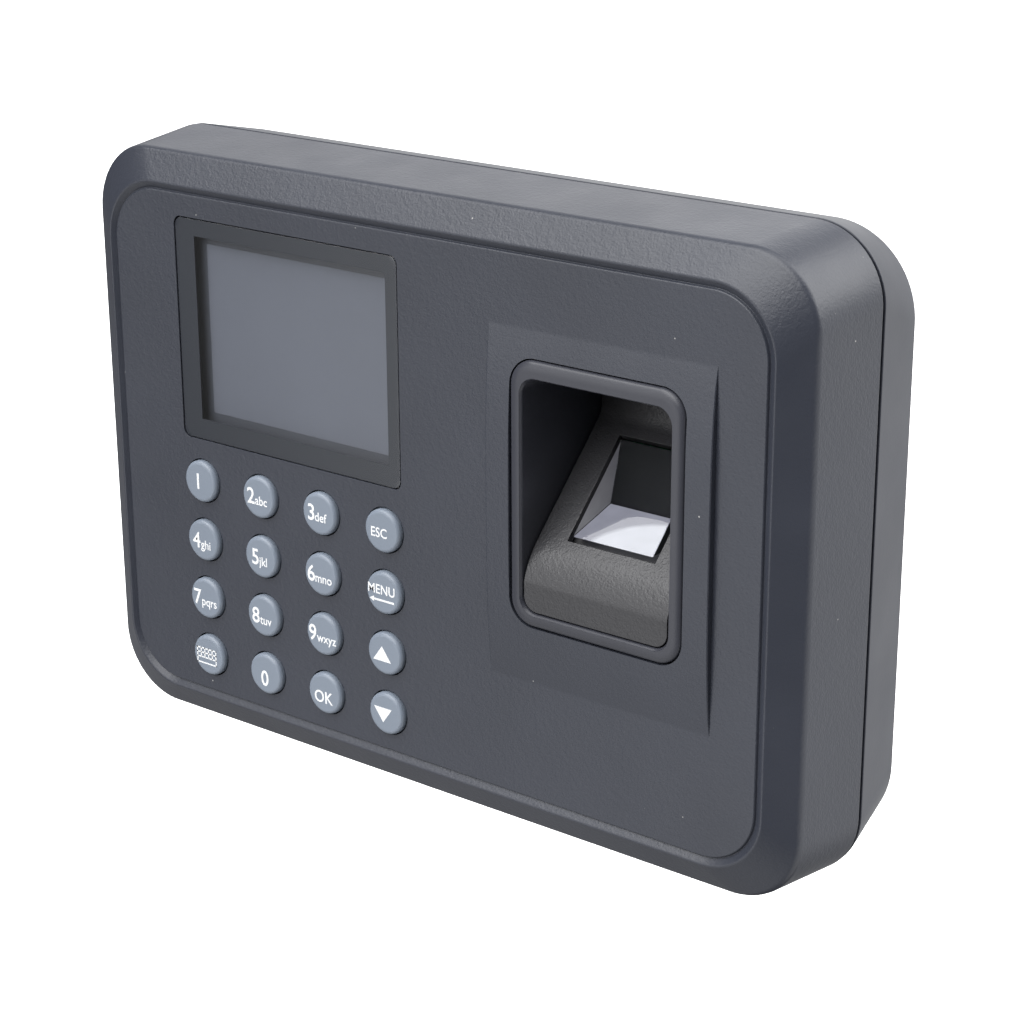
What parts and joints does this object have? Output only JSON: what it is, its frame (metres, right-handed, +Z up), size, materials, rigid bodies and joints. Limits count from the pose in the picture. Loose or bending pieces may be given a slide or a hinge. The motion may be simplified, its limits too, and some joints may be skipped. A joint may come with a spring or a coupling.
{
  "type": "fingerprint scanner terminal",
  "caption": "Wall-hung access terminal with a colour display, a round-key number pad and a finger well that slopes up to an optical glass sensor.",
  "frame": {"origin": "on the rear face of the wall plate, where the terminal meets the wall, at the middle of the case", "axes": "+X to the right of a user who faces the terminal, +Z up, +Y into the wall, so the front faces -Y"},
  "size_m": [0.1832, 0.0388, 0.1302],
  "materials": {
    "case_plastic": "dark grey moulded ABS with a fine spark grain",
    "key_plastic": "slate blue-grey key caps with white printed legends",
    "lens_glass": "flat lens with a dark printed border around a clear window",
    "lcd_glass": "unlit grey display glass behind the lens",
    "white_plastic": "white light-guide and lamp plastic",
    "sensor_plastic": "near-black textured plastic of the finger ramp",
    "prism_glass": "polished optical glass prism",
    "silicone": "grey silicone switch mat",
    "board_green": "green printed circuit board",
    "chip_black": "black moulded component plastic",
    "steel": "zinc-plated sheet steel",
    "nickel": "nickel-plated steel",
    "cable_film": "amber flat cable film"
  },
  "bodies": {
    "case": {"front_shell": "case_plastic", "back_cover": "case_plastic", "wall_plate": "steel", "plate_lock_screw": "nickel", "display_lens": "lens_glass", "lcd_panel": "lcd_glass", "lcd_backlight": "white_plastic", "lcd_frame": "steel", "keypad_mat": "silicone", "keypad_board": "board_green", "main_board": "board_green", "main_processor": "chip_black", "memory_chip": "chip_black", "backup_cell_holder": "chip_black", "backup_cell": "nickel", "port_board": "board_green", "usb_socket": "nickel", "power_jack": "chip_black", "speaker": "chip_black", "sensor_bezel": "case_plastic", "sensor_housing": "sensor_plastic", "sensor_prism": "prism_glass", "prism_cradle": "chip_black", "sensor_diffuser": "white_plastic", "sensor_light_board": "board_green", "sensor_light_left": "white_plastic", "sensor_light_right": "white_plastic", "sensor_camera": "chip_black", "sensor_board": "board_green", "display_ribbon": "cable_film", "keypad_ribbon": "cable_film", "sensor_ribbon": "cable_film", "case_screw_1": "nickel", "board_screw_1": "nickel", "case_screw_2": "nickel", "board_screw_2": "nickel", "case_screw_3": "nickel", "board_screw_3": "nickel", "case_screw_4": "nickel", "board_screw_4": "nickel"},
    "key_1": {"key_1": "key_plastic"},
    "key_2": {"key_2": "key_plastic"},
    "key_3": {"key_3": "key_plastic"},
    "key_escape": {"key_escape": "key_plastic"},
    "key_4": {"key_4": "key_plastic"},
    "key_5": {"key_5": "key_plastic"},
    "key_6": {"key_6": "key_plastic"},
    "key_menu": {"key_menu": "key_plastic"},
    "key_7": {"key_7": "key_plastic"},
    "key_8": {"key_8": "key_plastic"},
    "key_9": {"key_9": "key_plastic"},
    "key_up": {"key_up": "key_plastic"},
    "key_input": {"key_input": "key_plastic"},
    "key_0": {"key_0": "key_plastic"},
    "key_ok": {"key_ok": "key_plastic"},
    "key_down": {"key_down": "key_plastic"}
  },
  "joints": [
    {"name": "key_1_press", "type": "slide", "parent": "case", "child": "key_1", "axis": [0, 1, 0], "range_m": [0, 0.0007], "stiffness_N_per_m": 600},
    {"name": "key_2_press", "type": "slide", "parent": "case", "child": "key_2", "axis": [0, 1, 0], "range_m": [0, 0.0007], "stiffness_N_per_m": 600},
    {"name": "key_3_press", "type": "slide", "parent": "case", "child": "key_3", "axis": [0, 1, 0], "range_m": [0, 0.0007], "stiffness_N_per_m": 600},
    {"name": "key_escape_press", "type": "slide", "parent": "case", "child": "key_escape", "axis": [0, 1, 0], "range_m": [0, 0.0007], "stiffness_N_per_m": 600},
    {"name": "key_4_press", "type": "slide", "parent": "case", "child": "key_4", "axis": [0, 1, 0], "range_m": [0, 0.0007], "stiffness_N_per_m": 600},
    {"name": "key_5_press", "type": "slide", "parent": "case", "child": "key_5", "axis": [0, 1, 0], "range_m": [0, 0.0007], "stiffness_N_per_m": 600},
    {"name": "key_6_press", "type": "slide", "parent": "case", "child": "key_6", "axis": [0, 1, 0], "range_m": [0, 0.0007], "stiffness_N_per_m": 600},
    {"name": "key_menu_press", "type": "slide", "parent": "case", "child": "key_menu", "axis": [0, 1, 0], "range_m": [0, 0.0007], "stiffness_N_per_m": 600},
    {"name": "key_7_press", "type": "slide", "parent": "case", "child": "key_7", "axis": [0, 1, 0], "range_m": [0, 0.0007], "stiffness_N_per_m": 600},
    {"name": "key_8_press", "type": "slide", "parent": "case", "child": "key_8", "axis": [0, 1, 0], "range_m": [0, 0.0007], "stiffness_N_per_m": 600},
    {"name": "key_9_press", "type": "slide", "parent": "case", "child": "key_9", "axis": [0, 1, 0], "range_m": [0, 0.0007], "stiffness_N_per_m": 600},
    {"name": "key_up_press", "type": "slide", "parent": "case", "child": "key_up", "axis": [0, 1, 0], "range_m": [0, 0.0007], "stiffness_N_per_m": 600},
    {"name": "key_input_press", "type": "slide", "parent": "case", "child": "key_input", "axis": [0, 1, 0], "range_m": [0, 0.0007], "stiffness_N_per_m": 600},
    {"name": "key_0_press", "type": "slide", "parent": "case", "child": "key_0", "axis": [0, 1, 0], "range_m": [0, 0.0007], "stiffness_N_per_m": 600},
    {"name": "key_ok_press", "type": "slide", "parent": "case", "child": "key_ok", "axis": [0, 1, 0], "range_m": [0, 0.0007], "stiffness_N_per_m": 600},
    {"name": "key_down_press", "type": "slide", "parent": "case", "child": "key_down", "axis": [0, 1, 0], "range_m": [0, 0.0007], "stiffness_N_per_m": 600}
  ]
}
